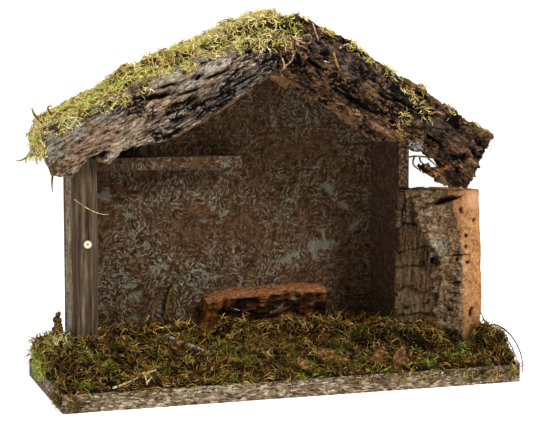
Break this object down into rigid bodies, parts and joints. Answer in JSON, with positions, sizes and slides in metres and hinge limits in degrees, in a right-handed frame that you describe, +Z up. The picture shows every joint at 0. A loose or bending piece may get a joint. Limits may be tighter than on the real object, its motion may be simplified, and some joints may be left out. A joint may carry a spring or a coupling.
{
  "type": "nativity stable",
  "caption": "Rustic open-fronted nativity stable with a chipboard base, painted gable house, bark-edged roof, branch post, cork block, bark bench and moss.",
  "frame": {"origin": "middle of the base board's underside", "axes": "+X along the front to the right, +Y to the back, +Z up"},
  "size_m": [0.3323, 0.137, 0.2629],
  "materials": {
    "raw_chipboard": "raw sawn particle edge",
    "sponged_board": "matt brown paint with sponged flecks",
    "brown_board": "matt brown paint",
    "weathered_branch": "weathered bark, matt",
    "roof_board": "raw board",
    "grey_bark": "fissured bark, matt",
    "dark_bark": "lumpy bark, matt",
    "virgin_cork": "cork bark with a cut face",
    "red_bark": "broken bark",
    "floor_moss": "dried moss",
    "roof_moss": "dried moss",
    "grey_wood": "weathered",
    "brown_stem": "dry",
    "dry_leaf": "dry",
    "brad_steel": "dull steel"
  },
  "bodies": {
    "root": {"base_board": "raw_chipboard", "back_panel": "sponged_board", "left_wall": "sponged_board", "right_wall": "brown_board", "corner_loft": "sponged_board", "left_post": "weathered_branch", "left_roof_board": "roof_board", "right_roof_board": "roof_board", "left_roof_bark": "grey_bark", "right_roof_bark": "dark_bark", "cork_block": "virgin_cork", "bark_bench": "red_bark", "front_moss": "floor_moss", "stall_moss": "floor_moss", "left_bench_moss": "floor_moss", "right_bench_moss": "floor_moss", "left_side_moss": "floor_moss", "right_side_moss": "floor_moss", "left_roof_moss": "roof_moss", "right_roof_moss": "roof_moss", "grey_twig": "grey_wood", "moss_stem": "brown_stem", "dry_leaf": "dry_leaf", "panel_brads": "brad_steel", "loft_brads": "brad_steel", "base_brads": "brad_steel", "roof_brads": "brad_steel"}
  },
  "joints": []
}
